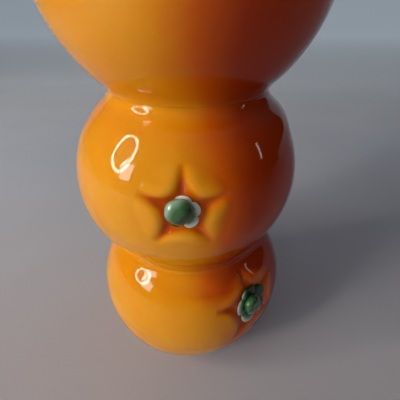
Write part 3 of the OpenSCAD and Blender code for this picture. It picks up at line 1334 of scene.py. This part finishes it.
@dataclass(frozen=True)
class Stalk:
    """A rolled pellet of clay that leans on the calyx, with a scar on its end."""

    glaze: bpy.types.Material
    radius: float = 3.65
    height: float = 2.7
    foot: float = 1.5
    offset: float = 0.8
    lean: float = 0.12
    side_power: float = 0.75
    dome_power: float = 0.9
    flute: float = 0.03
    flute_turn: float = 40.1
    # The waist is a share of the radius. Its place and both widths are shares of the way to the end.
    waist: float = 0.07
    waist_place: float = 0.05
    waist_width: float = 0.12
    scar: float = 0.22
    scar_width: float = 0.16
    # Thickness of the glaze, drawn milky on the upper left as painted light and thicker, darker green to
    # the lower right as painted shade.
    run_middle: float = 0.5
    run_and_shade: float = 0.5
    run_and_shade_way: Point = (0.8, -0.6)
    rings: int = 36
    sides: int = 60

    def ring(self, share: float) -> Point:
        """Find one ring of the stalk.

        Args:
            share: How far the ring lies on the way from the foot to the end.

        Returns:
            Its radius and height.
        """
        angle = share * math.pi / 2
        waist = 1 - self.waist * math.exp(-((share - self.waist_place) / self.waist_width) ** 2)
        dip = self.scar * math.exp(-((1 - share) / self.scar_width) ** 2)
        radius = self.radius * math.cos(angle) ** self.side_power * waist
        return radius, self.foot + self.height * math.sin(angle) ** self.dome_power - dip

    def build(self, name: str, place: Vector, stem: Stem) -> bpy.types.Object:
        """Make one stalk.

        Args:
            name: The piece's name.
            place: The middle of the hollow's floor, in metres.
            stem: Where the stem points.

        Returns:
            The stalk.
        """
        axes = stem.rotation()
        middle_film = self.run_middle + stem.pooled_and_shaded
        flute_turn = math.radians(self.flute_turn)
        mesh = bmesh.new()
        run = mesh.verts.layers.float.new("run")
        loops = []
        for i in range(self.rings):
            radius, height = self.ring(i / self.rings)
            lean = self.offset + self.lean * (height - self.foot)
            fade = 1 - i / self.rings
            loop = []
            for k in range(self.sides):
                angle = math.tau * k / self.sides
                right, up = math.cos(angle), math.sin(angle)
                reach = radius * (1 + self.flute * fade * math.cos(LOBES * angle + flute_turn))
                local = Vector((reach * right - lean, reach * up + lean, height))
                loop.append(mesh.verts.new(place + axes @ local * MM))
                # Painted light and shade: milky glaze to the upper left, dark to the lower right.
                fall = self.run_and_shade_way[0] * right + self.run_and_shade_way[1] * up
                loop[-1][run] = middle_film + self.run_and_shade * fall * reach / self.radius
            loops.append(loop)
        for low, high in zip(loops, loops[1:]):
            for k in range(self.sides):
                after = (k + 1) % self.sides
                mesh.faces.new((low[k], low[after], high[after], high[k]))
        end = self.ring(1.0)[1]
        lean = self.offset + self.lean * (end - self.foot)
        tip = mesh.verts.new(place + axes @ Vector((-lean, lean, end)) * MM)
        tip[run] = middle_film
        for k in range(self.sides):
            mesh.faces.new((loops[-1][k], loops[-1][(k + 1) % self.sides], tip))
        mesh.faces.new(list(reversed(loops[0])))
        for face in mesh.faces:
            face.smooth = True
        data = bpy.data.meshes.new(name)
        mesh.to_mesh(data)
        mesh.free()
        data.materials.append(self.glaze)
        piece = bpy.data.objects.new(name, data)
        bpy.context.scene.collection.objects.link(piece)
        return piece


@dataclass(frozen=True)
class Tier:
    """One fruit of the stack, with its calyx and stalk."""

    name: str
    sizes: FruitSizes
    stem: Stem
    seed: int

    @property
    def middle(self) -> Vector:
        """The fruit's middle in metres, measured up from where its foot stands."""
        low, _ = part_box(f"{self.name}_fruit")
        return Vector((0, 0, low.z + self.sizes.low * MM))

    def build(self, body: FruitBody, calyx: Calyx, stalk: Stalk) -> None:
        """Make the tier's pieces and set each in the place of its solid.

        Args:
            body: The maker of fruit bodies.
            calyx: The maker of calyxes.
            stalk: The maker of stalks.
        """
        axes = self.stem.rotation()
        place = self.middle + axes.col[2] * self.sizes.floor_height(self.stem.rise) * MM
        outline = FruitOutline(self.sizes)
        skin = body.build(f"{self.name}_fruit_skin", outline, self.middle, self.stem)
        pieces = {
            "fruit": (skin, Slot.FRUIT),
            "calyx": (calyx.build(f"{self.name}_calyx_lobes", place, self.stem, self.seed), Slot.CALYX),
            "stalk": (stalk.build(f"{self.name}_stalk_pellet", place, self.stem), Slot.STALK),
        }
        for node, (piece, slot) in pieces.items():
            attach(piece, f"{self.name}_tier")
            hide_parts(f"{self.name}_{node}")
            log.info("%s: %d faces", piece.name, len(piece.data.polygons))


@dataclass(frozen=True)
class Lamp:
    """A soft lamp aimed at the stack."""

    name: str
    turn: float
    rise: float
    width: float
    height: float
    watts: float
    distance: float = 600.0
    tint: str = "#FFFFFF"
    tilt: float = 0.0
    in_gloss: bool = True
    # A ring's bright rim and the streaks in its lower corner, in half widths of the lamp.
    ring: bool = False
    rim_from: float = 0.84
    streak_slant: Point = (1.3, 3.0)
    streak_from: float = 0.45
    corner_slant: float = 0.9
    corner_from: float = 0.6
    bright: float = 7.2
    dim: float = 0.13

    def build(self, target: Vector) -> None:
        """Make the lamp.

        Args:
            target: The point it is aimed at, in metres.
        """
        data = bpy.data.lights.new(self.name, "AREA")
        data.shape = "ELLIPSE" if self.ring else "RECTANGLE"
        data.size = self.width * MM
        data.size_y = self.height * MM
        data.energy = self.watts
        data.color = linear(self.tint)[:3]
        if self.ring:
            self.open_middle(data)
        turn, rise = math.radians(self.turn), math.radians(self.rise)
        away = Vector((math.sin(turn) * math.cos(rise), -math.cos(turn) * math.cos(rise), math.sin(rise)))
        lamp = bpy.data.objects.new(self.name, data)
        lamp.location = target + away * self.distance * MM
        aim = away.to_track_quat("Z", "Y").to_matrix()
        lamp.rotation_euler = (aim @ Matrix.Rotation(math.radians(self.tilt), 3, "Z")).to_euler()
        lamp.visible_glossy = self.in_gloss
        bpy.context.scene.collection.objects.link(lamp)

    def open_middle(self, data: bpy.types.Light) -> None:
        """Dim the lamp's middle, so that gloss shows a ring with streaks at its lower end.

        Args:
            data: The lamp.
        """
        data.use_nodes = True
        tree = data.node_tree
        spot = Field.of(tree, "ShaderNodeNewGeometry", "Parametric")
        spot = spot.apply("SUBTRACT", (0.5, 0.5, 0.0), kind=VECTORS)
        spot = spot.apply("MULTIPLY", (2.0, 2.0, 0.0), kind=VECTORS)
        right, up = spot["X"], spot["Y"]
        rim = spot.length().apply("GREATER_THAN", self.rim_from)
        slant = right * self.streak_slant[0] - up * self.streak_slant[1]
        streaks = slant.apply("FRACT").apply("GREATER_THAN", self.streak_from)
        corner = (right * self.corner_slant - up).apply("GREATER_THAN", self.corner_from)
        lit = rim.apply("MAXIMUM", streaks * corner)
        plug(tree, tree.nodes["Emission"], {"Strength": lit * self.bright + self.dim})


@dataclass(frozen=True)
class Studio:
    """The floor, lamps and camera round the stack."""

    floor_size: float = 6000.0
    sweep_start: float = 2200.0
    sweep_radius: float = 700.0
    sweep_height: float = 2600.0
    sweep_steps: int = 24
    focal_px: float = 276.0
    frame_px: float = 400.0
    sensor: float = 36.0
    clip_start: float = 5.0
    camera_place: Triple = (3.52, -87.13, 124.45)
    camera_pitch: float = 35.23
    camera_roll: float = 0.16
    overhead: str = "#868990"
    level: str = "#343236"
    dark_side: float = 0.88

    def floor(self, card: bpy.types.Material) -> None:
        """Lay a pale floor that sweeps up behind the stack.

        Args:
            card: The floor's finish.
        """
        half = self.floor_size / 2
        bow = arc(self.sweep_start, self.sweep_radius, self.sweep_radius, -90, 0, self.sweep_steps)
        line = [(-half, 0.0), *bow, (self.sweep_start + self.sweep_radius, self.sweep_height)]
        verts = [(x * MM, y * MM, z * MM) for y, z in line for x in (-half, half)]
        faces = [(2 * i, 2 * i + 1, 2 * i + 3, 2 * i + 2) for i in range(len(line) - 1)]
        mesh = bpy.data.meshes.new("studio_floor")
        mesh.from_pydata(verts, [], faces)
        mesh.materials.append(card)
        mesh.shade_smooth()
        sheet = bpy.data.objects.new("studio_floor", mesh)
        bpy.context.scene.collection.objects.link(sheet)

    def light(self, target: Vector) -> None:
        """Set the lamps and the even light around.

        Args:
            target: The point that the lamps are aimed at, in metres.
        """
        lamps = (
            Lamp(
                "window_ring", turn=-67, rise=25, width=250, height=380, watts=0.95,
                tint="#FFFAF2", ring=True, tilt=21,
            ),
            Lamp("low_window", turn=-53, rise=12, width=130, height=160, watts=0.72),
            Lamp("side_strip", turn=79, rise=16, width=22, height=150, watts=0.06),
            Lamp(
                "front_fill", turn=-4, rise=22, width=600, height=300, watts=0.68,
                distance=700, in_gloss=False,
            ),
        )
        for lamp in lamps:
            lamp.build(target)
        world = bpy.data.worlds.new("studio_air")
        world.use_nodes = True
        tree = world.node_tree
        ray = Field.of(tree, "ShaderNodeTexCoord", "Generated")
        ramp = add_node(tree, "ShaderNodeValToRGB", {"Fac": ray["Z"]})
        set_ramp(ramp, {0.15: self.level, 0.9: self.overhead})
        lit = 1.0 - ray["X"].clamped() * self.dark_side
        plug(tree, tree.nodes["Background"], {"Color": ramp.outputs["Color"], "Strength": lit})
        bpy.context.scene.world = world

    def camera(self) -> None:
        """Place the camera as the photograph has it."""
        data = bpy.data.cameras.new("photo_camera")
        data.sensor_width = self.sensor
        data.lens = self.focal_px / self.frame_px * self.sensor
        data.clip_start = self.clip_start * MM
        camera = bpy.data.objects.new("photo_camera", data)
        tilt = Matrix.Rotation(math.radians(90 - self.camera_pitch), 4, "X")
        roll = Matrix.Rotation(math.radians(self.camera_roll), 4, "Z")
        camera.matrix_world = Matrix.Translation(Vector(self.camera_place) * MM) @ tilt @ roll
        bpy.context.scene.collection.objects.link(camera)
        bpy.context.scene.camera = camera
        bpy.context.scene.view_settings.view_transform = "Standard"


def main() -> None:
    """Build the stack tier by tier, then the studio round it."""
    body = FruitBody(OrangeGlaze().build(), BareClay().build())
    calyx = Calyx(SepalGlaze().build())
    stalk = Stalk(StalkGlaze().build())
    low_neck = 26.8
    high_neck = 23.5
    bottom = FruitSizes(
        globe_r=37.7, low=27.7, high=25.2, foot_r=25.5, neck_r=low_neck, on_table=True,
        full_side=(-0.3, -0.75, -0.6), fullness=0.9, painted_shade_side=(1.0, 0.38, -0.08),
        bulge_swell=0.75, groove_depth=1.2,
    )
    middle = FruitSizes(
        globe_r=36.2, low=25.5, high=26.8, foot_r=low_neck, neck_r=high_neck,
        shift=-0.8, fullness=1.4, painted_shade_side=(1.0, 0.12, 0.0),
    )
    top = FruitSizes(globe_r=36.2, low=27.0, high=33.8, foot_r=high_neck, painted_shade_side=(1.0, -0.06, -0.13))
    bottom_stem = Stem(turn=40, rise=14, calyx_d=15.4, spin=-6, shaded_green_side=(1.2, 0.6, 0.0), pooled_and_shaded=0.45)
    middle_stem = Stem(turn=-1, rise=8, calyx_d=9.6, shaded_green_side=(-1.1, -0.1, 0.0))
    top_stem = Stem(turn=-20, rise=8, calyx_d=10.4)
    tiers = (
        Tier("bottom", bottom, bottom_stem, seed=3),
        Tier("middle", middle, middle_stem, seed=5),
        Tier("top", top, top_stem, seed=8),
    )
    for tier in tiers:
        tier.build(body, calyx, stalk)
    studio = Studio()
    studio.floor(PaleCard().build())
    studio.light((CAD_BOX[0] + CAD_BOX[1]) / 2)
    studio.camera()


if __name__ == "__main__":
    logging.basicConfig(level=logging.INFO)
    main()
